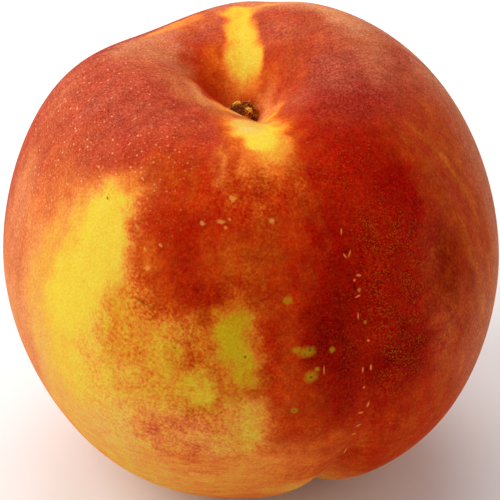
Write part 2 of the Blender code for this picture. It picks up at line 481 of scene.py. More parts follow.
@dataclass(frozen=True)
class FruitForm:
    """Measures of the whole fruit, in metres and degrees from its centre, as in the solids."""

    girth_radius: float = 0.0368
    crown_height: float = 0.0380
    base_height: float = 0.0361
    meridian_power: float = 1.9
    foot_depth: float = CAD_FOOT_DEPTH
    core_lean: float = -0.0013
    core_lean_spread: float = 40
    core_clearance: float = 14
    swells: tuple[Swell, ...] = (
        Swell(-105, 45, 28, 0.0016),
        Swell(-60, 42, 26, 0.0011),
        Swell(-78, 20, 9, 0.0012),
        Swell(57, 22, 6.5, 0.0013),
        Swell(-163, 40, 24, 0.0004),
        Swell(150, 40, 24, 0.0014),
        Swell(112, 48, 26, 0.0012),
        Swell(50, 120, 28, 0.0020),
        Swell(-30, 125, 30, 0.0020),
    )
    hollows: tuple[Hollow, ...] = (Hollow(177, -8, 6, 0.0006, 50), Hollow(-141, 0, 17, 0.0021, 62))
    bowl_depth: float = 0.0104
    bowl_radius: float = 0.0135
    bowl_shift: float = 0.0022
    bowl_azimuth: float = 14
    trench_depth: float = 0.0049
    trench_azimuth: float = -118
    trench_ends: tuple[float, float] = (0.0122, 0.0074)
    trench_sides: tuple[float, float] = (0.0073, 0.0035)
    cavity_fade: float = 0.5
    suture_azimuth: float = 27.5
    suture_stem_swing: float = 8
    suture_stem_reach: float = 26
    suture_low_swing: float = 4.5
    suture_low_start: float = 95
    suture_low_reach: float = 40
    suture_half_width: float = 5
    suture_depth: float = 0.0007
    suture_cleft_depth: float = 0.0023
    suture_cleft_start: float = 90
    suture_cleft_reach: float = 45
    suture_end: float = 176
    suture_end_fade: float = 12
    lip_depth: float = 0.0037
    lip_azimuth: float = 29
    lip_polar: float = 9
    lip_half_width: float = 4.6
    lip_length: float = 8.5
    dimple_depth: float = 0.0018
    dimple_radius: float = 0.0052
    tip_height: float = 0.0011
    tip_radius: float = 0.0014

    def suture_line(self, polar: np.ndarray) -> np.ndarray:
        """Azimuth of the suture: a bell-shaped bend near the stem, a squared one low down.

        Args:
            polar: Polar angles in degrees.

        Returns:
            Azimuths in degrees.
        """
        stem_end = self.suture_stem_swing * groove(polar, self.suture_stem_reach)
        below = np.maximum((polar - self.suture_low_start) / self.suture_low_reach, 0.0)
        return self.suture_azimuth - stem_end - self.suture_low_swing * below**2

    def suture_cut(self, at: Places) -> np.ndarray:
        """Depth of the suture, and of the dip where it leaves the cavity.

        The suture is a groove across its line, deeper below the girth, and fades at its end. The
        dip is a groove across one meridian times a bell along it.

        Args:
            at: Places on the surface.

        Returns:
            The depth in metres.
        """
        start, polar = self.suture_cleft_start, at.polar
        cleft = eased(polar, start, start + self.suture_cleft_reach)
        depth = self.suture_depth + self.suture_cleft_depth * cleft
        fade = np.clip((self.suture_end - polar) / self.suture_end_fade, 0.0, 1.0)
        seam = depth * fade * groove(at.arc(self.suture_line(polar)), self.suture_half_width)
        dip = self.lip_depth * groove(at.arc(self.lip_azimuth), self.lip_half_width)
        return seam + dip * groove(polar - self.lip_polar, self.lip_length)

    def cavity_cut(self, at: Places) -> np.ndarray:
        """Depth of the cavity's round bowl and of the trench in its floor.

        Each is a product of exp(-(offset / size)^2) along its own axes, and the trench's size
        differs on each side of its middle.

        Args:
            at: Places on the surface.

        Returns:
            The depth in metres, whole where the cosine of the polar angle is past cavity_fade, and
            none at the girth.
        """
        x, y = (self.girth_radius * at.across * part for part in at.circle)
        shift, run = math.radians(self.bowl_azimuth), math.radians(self.trench_azimuth)
        off_x, off_y = self.bowl_shift * math.sin(shift), -self.bowl_shift * math.cos(shift)
        bowl = self.bowl_depth * groove(np.hypot(x - off_x, y - off_y), self.bowl_radius)
        along = x * math.sin(run) - y * math.cos(run)
        across = -x * math.cos(run) - y * math.sin(run)
        length = np.where(along > 0.0, *self.trench_ends)
        width = np.where(across > 0.0, *self.trench_sides)
        trench = self.trench_depth * groove(along, length) * groove(across, width)
        return (bowl + trench) * eased(at.up, 0.0, self.cavity_fade)

    def radius(self, at: Places) -> np.ndarray:
        """Distance of the skin from the centre.

        A rounded meridian (|sin / girth|^p + |cos / height|^p)^(-1/p), plus the swells, less the
        grooves, which leave the very middle of the cavity clear, and less the cavity.

        Args:
            at: Places on the surface.

        Returns:
            The distance in metres.
        """
        half_height = np.where(at.up > 0.0, self.crown_height, self.base_height)
        power = self.meridian_power
        rounded = (at.across / self.girth_radius) ** power + (np.abs(at.up) / half_height) ** power
        swells = sum(swell.rise(at) for swell in self.swells)
        grooves = sum(hollow.cut(at) for hollow in self.hollows) + self.suture_cut(at)
        grooves = grooves * (1.0 - groove(at.polar, self.core_clearance))
        return rounded ** (-1.0 / power) + swells - grooves - self.cavity_cut(at)

    def skin(self, at: Places) -> np.ndarray:
        """Points of the skin from the centre.

        The radius goes out along each direction, the stem end leans along X, everything below
        the foot is levelled to it, and the dimple and its tip are dishes in the foot.

        Args:
            at: Places on the surface.

        Returns:
            Points with a last axis of x, y and z.
        """
        radius = self.radius(at)
        out = radius * at.across
        x, y = (out * part for part in at.circle)
        x = x + self.core_lean * groove(at.polar, self.core_lean_spread)
        z = np.maximum(radius * at.up, -self.foot_depth)
        dimple = self.dimple_depth * dish(out, self.dimple_radius)
        tip = self.tip_height * dish(out, self.tip_radius)
        return np.stack([x, y, z + (at.polar > 90.0) * (dimple - tip)], axis=-1)


# ---------------------------------------------------------------- colour of the skin


@dataclass(frozen=True)
class Oval:
    """An oval with half-axes in degrees of arc, the second down the meridian.

    Turn leans the oval's foot towards a higher azimuth, and edge is how much of the radius its
    soft border takes.
    """

    azimuth: float
    polar: float
    across: float
    down: float
    edge: float = 0.9
    turn: float = 0.0

    def cover(self, at: Places) -> np.ndarray:
        """Cover eased from 1 to 0 about an elliptical distance of 1.

        Args:
            at: Places on the surface.

        Returns:
            The cover of each place.
        """
        sideways, downwards = at.arc(self.azimuth), at.polar - self.polar
        lean = math.radians(self.turn)
        along = downwards * math.cos(lean) + sideways * math.sin(lean)
        beside = sideways * math.cos(lean) - downwards * math.sin(lean)
        reach = np.hypot(beside / self.across, along / self.down)
        return eased(reach, 1.0 + self.edge, 1.0 - self.edge)


@dataclass(frozen=True)
class Blot:
    """A rounded shape drawn through corners given as (azimuth, polar), with a soft edge.

    The edge is its half width in degrees of arc.
    """

    corners: tuple[tuple[float, float], ...]
    edge: float

    def outline(self) -> np.ndarray:
        """The corners cut off three times, each side keeping its middle half.

        Returns:
            Rows of azimuth and polar angle.
        """
        points = np.array(self.corners, dtype=float)
        points[:, 0] = points[0, 0] + turned(points[:, 0] - points[0, 0])
        for _ in range(3):
            after = np.roll(points, -1, axis=0)
            cuts = (points * 0.75 + after * 0.25, points * 0.25 + after * 0.75)
            points = np.stack(cuts, axis=1).reshape(-1, 2)
        return points

    def cover(self, at: Places) -> np.ndarray:
        """Cover eased from 1 inside to 0 outside, by the distance to the nearest side.

        A place is inside where a line out to its east crosses the outline an odd number of times.

        Args:
            at: Places on the surface.

        Returns:
            The cover of each place.
        """
        outline = self.outline()
        middle = outline[:, 0].mean()
        x, y = at.arc(middle), at.polar
        line_x = (outline[:, 0] - middle) * np.sin(np.radians(outline[:, 1]))
        line = np.stack([line_x, outline[:, 1]], axis=1)
        nearest = np.full(y.shape, np.inf)
        inside = np.zeros(y.shape, dtype=bool)
        for (x0, y0), (x1, y1) in zip(line, np.roll(line, -1, axis=0)):
            run, drop = x1 - x0, y1 - y0
            part = np.clip(((x - x0) * run + (y - y0) * drop) / (run * run + drop * drop), 0.0, 1.0)
            nearest = np.minimum(nearest, np.hypot(x - x0 - part * run, y - y0 - part * drop))
            if drop:
                inside ^= ((y0 > y) != (y1 > y)) & (x < x0 + (y - y0) * run / drop)
        distance = np.where(inside, nearest, -nearest)
        return eased(distance, -self.edge, self.edge)


Shape = Union[Oval, Blot]


@dataclass(frozen=True)
class Patch:
    """A shape, and the strengths it gives the skin.

    Blush runs from 0, yellow, through orange and red to 1, maroon. Green and bloom_and_sheen are shares;
    bloom_and_sheen is the fuzz's pale haze, partly its own colour and partly painted sheen and highlight.
    """

    shape: Shape
    blush: float
    green: float = 0.0
    bloom_and_sheen: float = 0.0


GROUND = {"blush": 0.66, "green": 0.0, "bloom_and_sheen": 0.0}

# The last strength of each patch, bloom_and_sheen, is the fuzz's pale haze: partly its own colour, partly
# painted sheen along the lit rims and shoulders.
PAINTING: tuple[Patch, ...] = (
    # broad grounds round the fruit
    Patch(Oval(-125, 90, 50, 45, 0.8), 0.56, 0.05, 0.02),
    Patch(Oval(165, 110, 75, 36, 0.8), 0.48, 0.1, 0.12),
    Patch(Oval(120, 50, 45, 30, 0.8), 0.66, 0.2, 0.28),
    Patch(Oval(150, 80, 24, 30), 0.78, 0.05, 0.08),
    Patch(Oval(-156, 62, 28, 26, 0.8), 0.76, 0, 0.06),
    Patch(Oval(-170, 98, 14, 24), 0.52, 0, 0.03),
    Patch(Oval(-128, 92, 14, 26), 0.34, 0.1, 0.08),
    # painted sheen: pale haze along the right rim
    Patch(Oval(98, 84, 34, 60, 0.95), 0.6, 0.14, 0.34),
    Patch(Oval(66, 86, 18, 50, 0.8), 0.6, 0.2, 0.04),
    # painted sheen: haze of the lit fuzz on the upper left shoulder
    Patch(Oval(-98, 35, 38, 22, 0.7), 0.8, 0, 0.09),
    Patch(Oval(-116, 44, 14, 12, 0.8), 0.78, 0.45, 0.08),
    Patch(Oval(-118, 30, 12, 5), 0.54, 0.25, 0.38),
    Patch(Oval(-68, 48, 20, 14), 0.64, 0, 0.12),
    Patch(Oval(-91, 46, 7, 8), 0.66, 0, 0.22),
    Patch(Oval(60, 45, 26, 14, 0.8), 0.67, 0.08),
    Patch(Oval(62, 33, 10, 7), 0.77, 0.22),
    Patch(Oval(-40, 36, 22, 10, 0.8), 0.69, 0, 0.09),
    Patch(Oval(-66, 34, 16, 9), 0.76, 0, 0.15),
    Patch(Oval(-20, 44, 16, 12, 0.8), 0.7),
    Patch(Blot(((-28, 50), (-14, 48), (-8, 54), (-9, 62), (-13, 68), (-20, 68), (-24, 60)), 5), 0.76, 0.4),
    Patch(Oval(8, 60, 12, 16), 0.7, 0.05),
    Patch(Oval(6, 41, 5, 6), 0.5, 0.08),
    Patch(Oval(9, 37, 4, 5), 0.4, 0.05),
    Patch(Oval(24, 41, 5, 8), 0.64),
    Patch(Oval(20, 57, 4, 8), 0.68, 0.2),
    Patch(Blot(((-9, 47), (8, 46), (8, 56), (3, 66), (-12, 66), (-12, 56)), 5), 0.64, 0.26),
    Patch(Oval(-6, 56, 4, 6), 0.58, 0.3),
    # the dark side of the front
    Patch(Oval(35, 60, 13, 30, 0.6), 0.86, 0.02),
    Patch(Oval(35, 46, 9, 12, 0.8), 0.81, 0.1),
    Patch(Oval(30, 28, 6, 8, 0.8), 0.7),
    Patch(Blot(((17, 64), (24, 60), (25.5, 72), (25.5, 84), (26, 102), (18, 98), (16, 80)), 6), 0.88, 0.75),
    Patch(Oval(17, 77, 4, 8), 0.88, 0.95),
    Patch(Oval(31, 87.5, 4, 5), 0.9, 0.75),
    Patch(Blot(((53, 62), (58, 60), (62, 66), (61, 75), (55, 81), (48, 79), (46, 72)), 5), 0.68, 0.95),
    Patch(Blot(((35, 78), (40, 79), (44, 84), (42, 91), (37, 97), (32, 96), (35, 88)), 5), 0.88, 0.8),
    Patch(Oval(52, 51, 5, 9), 0.9, 0.1),
    Patch(Blot(((60, 50), (66, 60), (66, 72), (62, 84), (54, 94), (50, 92), (57, 80), (62, 70), (61, 60),
                (55, 52)), 3), 0.66, 0.34, 0.01),
    Patch(Oval(62, 77, 3, 8, 0.8, 12), 0.66, 0.7),
    Patch(Blot(((66, 62), (72, 66), (70, 82), (62, 98), (58, 96), (64, 82)), 3), 0.63, 0.26, 0.02),
    # painted sheen: pale haze low on the right rim
    Patch(Oval(86, 99, 20, 18, 0.95), 0.54, 0.1, 0.42),
    Patch(Oval(38, 108, 12, 12), 0.68, 0.22),
    Patch(Oval(28, 101, 5, 7), 0.84, 0.3),
    Patch(Oval(47, 34, 9, 8), 0.84, 0.12),
    Patch(Oval(58, 27, 10, 6), 0.76, 0.25, 0.02),
    Patch(Oval(66, 40, 9, 6), 0.74, 0.35),
    Patch(Oval(72, 68, 5, 14), 0.63, 0.2, 0.03),
    Patch(Oval(74, 48, 7, 10), 0.62, 0.28, 0.03),
    # the underside
    Patch(Oval(-18, 136, 58, 28, 0.5), 0.26, 0, 0.1),
    Patch(Oval(12, 124, 20, 14, 0.8), 0.38, 0.15, 0.04),
    Patch(Oval(34, 116, 18, 16, 0.8), 0.66, 0.12),
    Patch(Oval(160, 150, 60, 26, 0.8), 0.34, 0.25, 0.02),
    Patch(Oval(0, 180, 7, 7), 0.5, 0.45, 0.05),
    Patch(Oval(0, 180, 1.8, 1.8, 0.4), 1, 0.9, 0.22),
    # the left flank
    # painted sheen: pink haze of the lit fuzz towards the left rim
    Patch(Blot(((-85, 62), (-64, 58), (-58, 70), (-56, 95), (-48, 125), (-80, 130), (-95, 100),
                (-92, 75)), 8), 0.42, 0, 0.2),
    Patch(Oval(-60, 57, 6, 7), 0.5, 0, 0.12),
    Patch(Oval(-99, 74, 14, 22, 0.8), 0.7, 0.1, 0.11),
    Patch(Oval(-57, 80, 7, 14, 0.8), 0.26, 0, 0.26),
    Patch(Blot(((-56, 52), (-46, 44.5), (-37, 43.5), (-35, 50), (-31.5, 58), (-28.5, 67), (-20, 72),
                (-10, 74), (-8, 90), (-14, 97), (-26, 112), (-50, 122), (-64, 106), (-66, 90),
                (-62, 74)), 4), 0.28, 0.02, 0.1),
    Patch(Blot(((-37, 70), (-31, 64), (-25, 66), (-19, 68), (-15, 75), (-13, 92), (-22, 92), (-31, 96),
                (-35, 89)), 3), 0.29, 0.34),
    Patch(Oval(-29, 89, 5, 4), 0.24, 0.15, 0.05),
    Patch(Oval(-38, 108, 12, 10), 0.2, 0, 0.22),
    Patch(Oval(-56, 94, 11, 13), 0.22, 0, 0.26),
    Patch(Blot(((-86, 60), (-80, 54), (-74, 62), (-67, 72), (-64, 84), (-72, 90),
                (-82, 86)), 5), 0.5, 0, 0.24),
    Patch(Blot(((-84, 86), (-72, 86), (-63, 84), (-58, 96), (-56, 106), (-66, 112),
                (-80, 104)), 4), 0.42, 0, 0.3),
    Patch(Blot(((-27, 97), (-20, 93), (-9, 94), (-8, 100), (-16, 106), (-25, 105)), 3.5), 0.44, 0, 0.1),
    Patch(Oval(-8, 103, 6, 5, 0.8), 0.34, 0.1, 0.1),
    Patch(Blot(((-46, 47.5), (-37, 47), (-36, 52), (-33, 58), (-33, 63), (-37, 69), (-38, 78), (-42, 86),
                (-50, 88), (-54, 82), (-54, 72), (-50, 62), (-49, 54)), 3.6), 0.02, 0.03),
    Patch(Blot(((-54, 86), (-40, 82), (-35, 87), (-32, 95), (-40, 100), (-50, 98)), 5), 0.13, 0.02, 0.06),
    Patch(Oval(-26.8, 61, 3, 7), 0.52, 0.18),
    Patch(Oval(-33, 42, 6, 4), 0.62, 0, 0.05),
    Patch(Oval(-37.3, 45.2, 3, 2), 0.38, 0, 0.03),
    Patch(Oval(-23, 42, 6, 5), 0.66, 0.1),
    Patch(Oval(-21, 68, 6, 3.5), 0.62, 0.3),
    # the greenish belly
    Patch(Blot(((-16.5, 74), (-10, 70.5), (-3, 67), (1, 69), (3, 77), (3, 86), (0, 90), (-11, 92.5),
                (-15.5, 87), (-17.5, 79)), 2.6), 0.42, 0.6),
    Patch(Blot(((-4, 55), (2, 55), (2, 66), (-3, 67)), 3), 0.58, 0.4),
    Patch(Blot(((-12, 90), (-3, 87.5), (2, 87), (2, 90), (-4, 92), (-11, 93)), 1.8), 0.46, 0.7),
    Patch(Oval(-13, 72.5, 4, 2.5), 0.44, 0.6),
    Patch(Oval(0.5, 66, 4, 3), 0.56, 0.45),
    Patch(Oval(-10.5, 66, 5, 3.5, 0.8), 0.78, 0.35),
    Patch(Oval(-12, 93, 5, 2.5), 0.42, 0.5),
    Patch(Blot(((-10, 72), (-8, 69.5), (-5.5, 67.5), (-2, 66.5), (0.4, 68), (0.5, 71.5), (-0.8, 75),
                (-1, 78), (0.5, 79.5), (1, 83), (-0.5, 85.5), (-2.5, 83.5), (-4, 80.5), (-6, 80), (-8, 77),
                (-8.5, 73.6)), 3.2), 0.05, 0.9),
    Patch(Oval(-4.5, 69, 5.5, 2.2), 0.24, 0.92),
    Patch(Oval(-10.5, 65.6, 4.5, 2), 0.74, 0.4),
    Patch(Oval(1.6, 65.8, 3.5, 2.2), 0.66, 0.42),
    Patch(Oval(-1.2, 81, 2.2, 4.5, 0.8), 0.08, 0.84),
    Patch(Oval(1.6, 86.4, 2.2, 3.2), 0.52, 0.6),
    Patch(Oval(-12, 87.5, 3.4, 4, 0.8), 0.14, 0.6),
    Patch(Oval(-10.8, 70.5, 2.5, 2.5), 0.58, 0.6),
    Patch(Oval(-6, 48.8, 5, 3.5), 0.76, 0.04),
    Patch(Blot(((-15.5, 87), (-12, 84.5), (-8, 88), (-9, 91), (-13, 91)), 2), 0.11, 0.42),
    Patch(Blot(((-19.5, 77), (-16.5, 76), (-16, 81), (-17, 85), (-19.5, 83)), 1.6), 0.24, 0.62),
    Patch(Blot(((-6.5, 92.5), (-3, 90), (1.5, 89.5), (3.5, 93), (3, 98.5), (1, 104), (-5, 105),
                (-7, 98.5)), 4.4), 0.2, 0.3, 0.06),
    Patch(Oval(-2, 109, 5, 3, 0.8), 0.34, 0.1, 0.06),
    Patch(Oval(14, 127, 7, 4), 0.24, 0.3, 0.12),
    Patch(Oval(-6, 136, 12, 6), 0.44, 0.1, 0.02),
    # the lip of the cavity, and the streaks below it
    Patch(Blot(((-14, 30), (18, 34), (24, 44), (14, 52), (0, 50), (-12, 42)), 5), 0.66, 0.06),
    Patch(Blot(((-28, 13), (-18, 24), (-8, 29), (0, 36), (10, 40), (19, 38), (24, 32), (28, 25), (36, 19),
                (52, 15), (66, 13), (30, 9), (0, 10)), 3), 0.5, 0.02),
    Patch(Blot(((-20, 13), (-9, 24), (-1, 28), (4, 32.5), (10, 35.5), (17, 34), (21, 30), (23.5, 26),
                (26, 21.5), (33, 17.5), (48, 14), (64, 13), (64, 10), (30, 10), (0, 11)), 2), 0.28),
    Patch(Blot(((-3, 25), (8, 22), (16, 19), (25, 16), (45, 11.5), (60, 10), (60, 12.5), (42, 13.5),
                (28, 17.5), (21, 21.5), (20, 26), (17, 29), (12, 31), (5, 31), (-2, 28.5)), 1.8), 0),
    # the pale cream line along the cavity's rim is partly painted sheen of the fuzz seen edge-on
    Patch(Blot(((-105, 15), (-70, 11), (-40, 9.5), (-14, 10), (8, 14), (10, 19), (-8, 20), (-20, 18),
                (-40, 16.5), (-60, 17), (-80, 18), (-100, 19)), 2), 0.54, 0.05, 0.16),
    Patch(Blot(((-60, 9), (-30, 9), (-14, 10), (8, 14), (10, 19), (-8, 19.5), (-20, 16), (-34, 13.5),
                (-52, 12.8)), 1), 0.32, 0.05, 0.12),
    Patch(Blot(((-18, 12), (10, 12), (40, 12), (34, 16), (16, 21), (8, 25), (1, 26), (-5, 23.5),
                (-11, 19)), 1.6), 0.14, 0.12, 0.2),
    Patch(Oval(-2, 15.5, 9, 2.4), 0.52, 0.62, 0.08),
    # painted highlight: a pale cream spot on the lip
    Patch(Oval(4, 24.5, 2.2, 1.5), 0.04, 0, 0.34),
    Patch(Blot(((-13, 31), (-10, 30), (-8, 34), (-9, 40), (-11, 40)), 1.6), 0.48, 0.1, 0.05),
    Patch(Blot(((-4, 29), (2, 30), (2, 37), (-4, 38)), 2.4), 0.44, 0, 0.02),
    # the back of the cavity
    Patch(Oval(-138, 14, 12, 9, 0.6), 0.66),
    Patch(Oval(-158, 15, 4, 6, 0.8), 0.54),
    # painted shade: a dark line deep in the cavity, under the rim of its far wall
    Patch(Oval(-125, 9, 12, 3, 0.8), 0.82, 0.2),
    Patch(Oval(-114, 17, 7, 9, 0.8), 0.66, 0.45),
    Patch(Oval(-100, 19.5, 6, 2.8), 0.54, 0.35, 0.26),
    Patch(Oval(-118, 23.5, 4, 2.4), 0.58, 0.35, 0.14),
    Patch(Oval(-62, 14.8, 5, 2.2), 0.4, 0.1, 0.3),
    Patch(Oval(-90, 21, 6, 5, 0.8), 0.66, 0.1, 0.16),
    Patch(Oval(-116, 25, 8, 4, 0.8), 0.56, 0.2, 0.26),
    Patch(Oval(-62, 18.5, 6, 3, 0.8), 0.56, 0.08, 0.16),
    Patch(Oval(140, 10, 12, 6, 0.8), 0.64, 0, 0.02),
    Patch(Oval(72, 9, 6, 3, 0.8), 0.2, 0, 0.24),
    Patch(Oval(102, 9.5, 4, 3, 0.8), 0.48, 0, 0.14),
    Patch(Oval(112, 14, 8, 5), 0.66, 0.04, 0.02),
    Patch(Oval(122, 18, 6, 6), 0.62, 0.02, 0.02),
    Patch(Oval(96, 28, 14, 12, 0.8), 0.74, 0.42, 0.12),
    Patch(Oval(72, 27, 9, 8), 0.85, 0.5, 0.04),
    Patch(Oval(88, 23, 7, 5), 0.8, 0.55, 0.13),
    Patch(Oval(98, 31, 7, 3), 0.66, 0.4, 0.2),
    Patch(Oval(112, 35, 8, 5), 0.72, 0.4, 0.1),
    Patch(Oval(152, 27, 12, 6, 0.8), 0.7, 0.1, 0.1),
    # painted sheen: pale haze along the top rim
    Patch(Oval(154, 33.5, 20, 5, 0.8), 0.48, 0.1, 0.42),
    Patch(Oval(-159, 25, 6, 4, 0.8), 0.68, 0, 0.14),
    Patch(Oval(-154, 30.5, 6, 3, 0.8), 0.46, 0, 0.1),
    Patch(Oval(176, 10, 6, 3.5), 0.36),
    Patch(Blot(((-168, 29), (-168, 24), (-166, 20.5), (-162, 18.5), (-164, 17), (-160, 15), (-158, 13.5),
                (-163, 11.5), (-168, 10), (178, 9), (170, 9.5), (160, 11.5), (157, 13.5), (163, 15.5),
                (168, 18), (174, 21.5), (176, 25), (175, 28.5), (176, 30.5), (-174, 31)), 1.6), 0.14),
    Patch(Blot(((-178, 12), (-177, 20), (-178, 26), (180, 26), (178, 20), (170, 17), (165, 13),
                (172, 11)), 1.6), 0.02, 0, 0.03),
    Patch(Blot(((178, 26.5), (173, 29), (168, 31), (158, 33), (158, 34.5), (168, 33),
                (180, 30)), 0.9), 0.28, 0, 0.16),
    Patch(Blot(((-160, 33), (-150, 30.5), (-140, 30), (-128, 32), (-128, 34), (-142, 34),
                (-158, 35)), 1.4), 0.36, 0, 0.12),
    Patch(Oval(176, 44, 5, 9), 0.5, 0, 0.05),
)

DENSITIES: dict[str, tuple[tuple[Shape, float], ...]] = {
    "lenticels": (
        (Oval(-78, 48, 34, 24, 0.6), 1),
        (Oval(-38, 36, 18, 12, 0.8), 0.14),
        (Oval(70, 30, 40, 14, 0.8), 0.12),
        (Blot(((-38, 46), (-28, 48), (-24, 66), (-32, 64)), 3), 0.12),
        (Oval(0, 60, 180, 70, 0.3), 0.06),
    ),
    "streaky": (
        (Blot(((56, 36), (84, 40), (84, 100), (52, 108), (58, 84), (62, 60)), 6), 1),
        (Oval(10, 50, 16, 22, 0.8), 0.5),
        (Oval(30, 108, 26, 16, 0.8), 0.6),
        (Oval(60, 60, 120, 80, 0.3), 0.3),
    ),
    "flecks": (
        (Blot(((31, 50), (44, 46), (50, 56), (47, 70), (44, 84), (40, 96), (29, 96), (28, 70)), 5), 1),
        (Oval(22, 84, 7, 22, 0.8), 0.4),
        (Oval(35, 40, 12, 12, 0.8), 0.35),
    ),
    "mottle": (
        (Blot(((-40, 74), (-30, 60), (-26, 66), (-10, 70), (-2, 88), (8, 96), (0, 108), (-30, 110),
               (-46, 96)), 5), 1),
        (Blot(((44, 52), (60, 52), (58, 92), (42, 94)), 4), 0.6),
        (Oval(30, 100, 14, 10, 0.8), 0.4),
        (Oval(4, 42, 14, 8, 0.8), 0.8),
        (Oval(-3, 76, 11, 18, 0.5), 0.65),
        (Blot(((-60, 54), (-40, 43), (-30, 47), (-28, 66), (-34, 60), (-38, 50), (-52, 58)), 4), 0.7),
        (Oval(0, 60, 180, 70, 0.3), 0.25),
    ),
}


@dataclass(frozen=True)
class Brush:
    """Lays shapes on the skin, with their borders shifted by slow and by small unevenness.

    Each unevenness is its size in degrees and its number of waves, drawn from the seed for the
    polar angle and the seed for the azimuth. Near the poles the shift sideways is held back.
    """

    slow: tuple[float, float] = (0.5, 3.0)
    small: tuple[float, float] = (0.7, 11.0)
    seeds: tuple[int, int] = (3, 13)
    pole_width: float = 0.15

    def warped(self, at: Places) -> Places:
        """Shift the places along both angles by sums of slow and small waves.

        Args:
            at: Places on the surface.

        Returns:
            The shifted places.
        """
        down, side = (
            sum(size * wobble(at.outwards, waves, seed=seed + turn)
                for turn, (size, waves) in enumerate((self.slow, self.small)))
            for seed in self.seeds)
        return Places(at.polar + down, at.azimuth + side / np.maximum(at.across, self.pole_width))

    def painted(self, at: Places) -> dict[str, np.ndarray]:
        """Lay the painting, each patch over the last, and the densities, the densest on top.

        Args:
            at: Places on the surface.

        Returns:
            The fields blush, green, bloom_and_sheen (the fuzz's pale haze with painted sheen), lenticels,
            streaky, flecks and mottle by name.
        """
        at = self.warped(at)
        fields = {name: np.full(at.polar.shape, strength) for name, strength in GROUND.items()}
        for patch in PAINTING:
            cover = patch.shape.cover(at)
            for name, values in fields.items():
                values += cover * (getattr(patch, name) - values)
        for name, shapes in DENSITIES.items():
            fields[name] = np.max([amount * shape.cover(at) for shape, amount in shapes], axis=0)
        return fields


class Kind(Enum):
    """Kinds of small marks, laid one over another in this order."""

    SPOT = "spot"
    DOT = "dot"
    SCAB = "scab"
    PIT = "pit"
    CORE = "core"


@dataclass(frozen=True)
class Mark:
    """A small oval mark: its place and half-axes, the second down the meridian, in degrees."""

    azimuth: float
    polar: float
    across: float
    down: float
    turn: float = 0.0


def chart(at: Places) -> np.ndarray:
    """Flat map of the front in degrees: the arc east of CHART_AZIMUTH, and the polar angle."""
    return np.stack([at.arc(CHART_AZIMUTH), at.polar, 0.0 * at.polar], axis=-1)


SMALL_MARKS: dict[Kind, tuple[Mark, ...]] = {
    # yellow spots on the front, and one on the suture
    Kind.SPOT: (
        Mark(27.8, 75, 0.4, 0.5), Mark(12.6, 78.5, 2.3, 1.4), Mark(10.4, 77.8, 1.3, 0.9),
        Mark(13.3, 84.7, 1.6, 1.5), Mark(14.8, 83, 0.7, 0.55), Mark(9, 66.1, 1.15, 1.05),
        Mark(18.6, 79, 0.75, 0.8), Mark(9.5, 93.2, 0.9, 0.8),
    ),
    # small pale spots under the lip and beside the cheek, and one on the suture
    Kind.DOT: (
        Mark(27.7, 67.2, 0.5, 0.5), Mark(-5, 43.2, 0.9, 0.75), Mark(-13.7, 49.4, 0.6, 0.55),
        Mark(-8.4, 48.6, 0.95, 0.5), Mark(-5.8, 47.9, 0.4, 0.4), Mark(-6.8, 49.8, 0.42, 0.4),
        Mark(6.8, 48.3, 0.75, 0.7), Mark(-34, 48.6, 0.6, 0.42), Mark(-32.4, 53.5, 0.66, 0.45, 40),
        Mark(-32, 57.3, 0.52, 0.42), Mark(-28.4, 57.8, 0.4, 0.4), Mark(-24.4, 56, 0.48, 0.44),
        Mark(-26.6, 61.6, 0.85, 0.5, -40),
    ),
    # corky cracks down the suture, and one beside the yellow spots
    Kind.SCAB: (
        Mark(26.9, 53.3, 0.24, 0.7, 8), Mark(25.9, 58.7, 0.22, 0.75, -32), Mark(27.4, 58.6, 0.22, 0.8, 30),
        Mark(28.4, 63.9, 0.65, 0.26, 20), Mark(27, 64.7, 0.28, 0.32), Mark(27, 68.5, 0.8, 0.24, -10),
        Mark(26.2, 73, 0.22, 0.9), Mark(28, 79.5, 0.45, 0.3, 40), Mark(26, 86.3, 0.28, 0.8),
        Mark(28.1, 86.4, 0.3, 0.8), Mark(26.2, 91.2, 0.3, 0.32), Mark(27.6, 96.8, 0.3, 0.95, 10),
        Mark(26, 98.8, 0.75, 0.32, 25), Mark(26.2, 103.5, 0.85, 0.3, -15), Mark(25.4, 106.6, 0.75, 0.3, 25),
        Mark(25.6, 116, 0.26, 2.4), Mark(23.6, 126, 0.26, 3.6), Mark(16.4, 83.6, 0.15, 1.2),
    ),
    # dark pits in the suture
    Kind.PIT: (
        Mark(26.6, 57.9, 0.5, 0.5), Mark(26.6, 66.2, 0.55, 0.95, -8), Mark(27, 86.5, 0.5, 0.75),
    ),
    # dark middles of the yellow spots, pinholes, and a scratch below the cheek
    Kind.CORE: (
        Mark(13.4, 78.1, 0.42, 0.48), Mark(12.2, 79.1, 0.24, 0.24), Mark(13.4, 84.8, 0.42, 0.4),
        Mark(9.5, 93.2, 0.3, 0.3), Mark(-1.3, 78.8, 0.34, 0.34), Mark(1.2, 74.4, 0.25, 0.25),
        Mark(-15.7, 73.4, 0.28, 0.28), Mark(-17.3, 78.2, 0.26, 0.26), Mark(-44.1, 50.5, 0.34, 0.34),
        Mark(-25.8, 69.6, 2.8, 0.17, 14),
    ),
}


